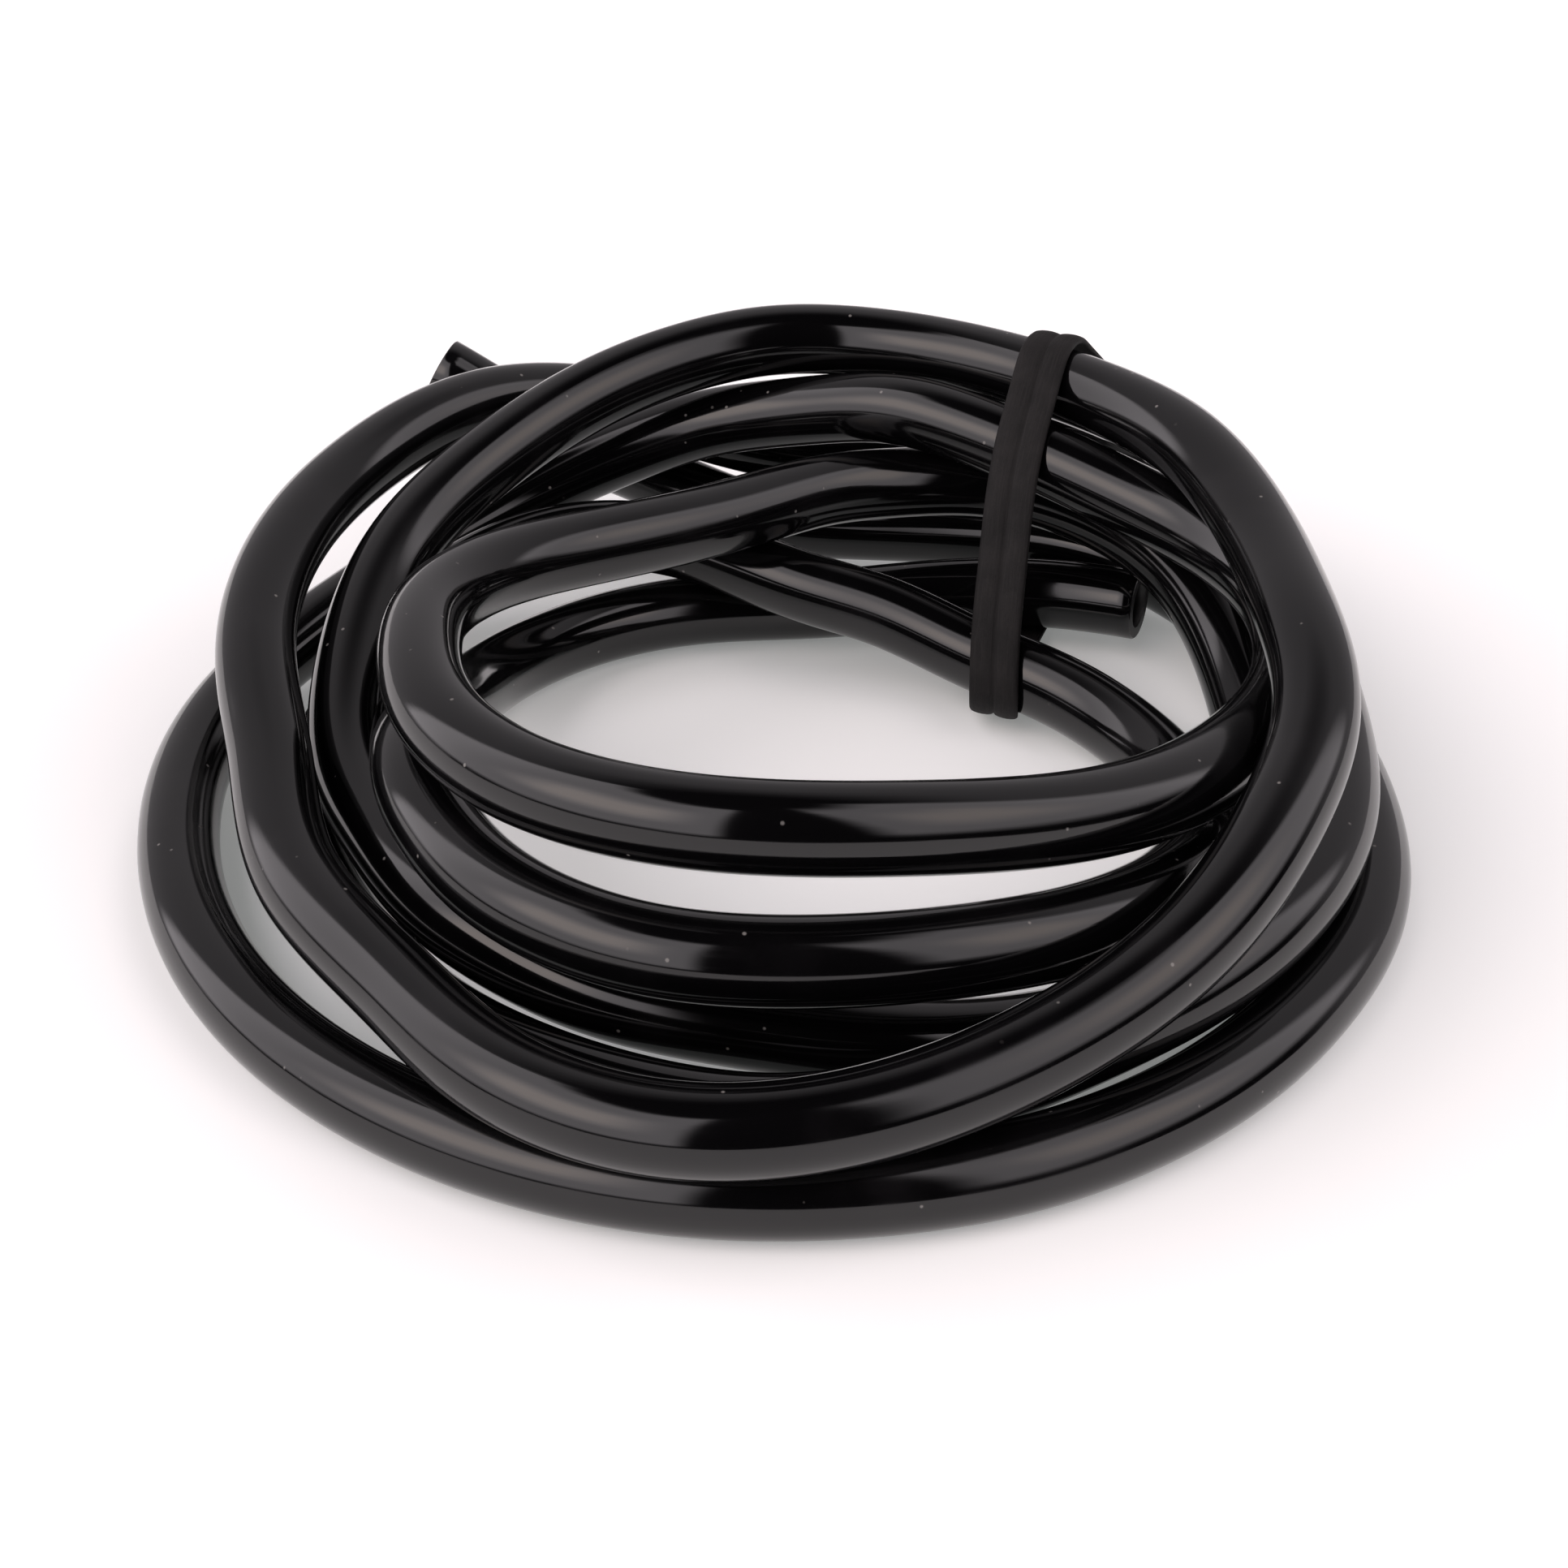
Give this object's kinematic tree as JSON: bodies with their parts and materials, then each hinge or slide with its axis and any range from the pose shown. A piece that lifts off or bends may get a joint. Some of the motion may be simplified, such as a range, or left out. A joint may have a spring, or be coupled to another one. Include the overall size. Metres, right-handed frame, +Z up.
{
  "type": "coiled hose",
  "caption": "Three metres of smooth black flexible hose wound into a loose coil and tied with a doubled rubber band; both ends cut square and open.",
  "frame": {"origin": "on the surface the coil lies on, under the middle of its bounding box", "axes": "+Z up, away from the surface; +Y towards the side where the hose's outer end sticks out and the band ties the bundle; +X to the right when seen from the front, which is the -Y side"},
  "size_m": [0.1914, 0.2092, 0.0535],
  "materials": {
    "hose_black": "gloss",
    "band_charcoal": "matte"
  },
  "bodies": {
    "root": {"hose": "hose_black", "band": "band_charcoal"}
  },
  "joints": []
}
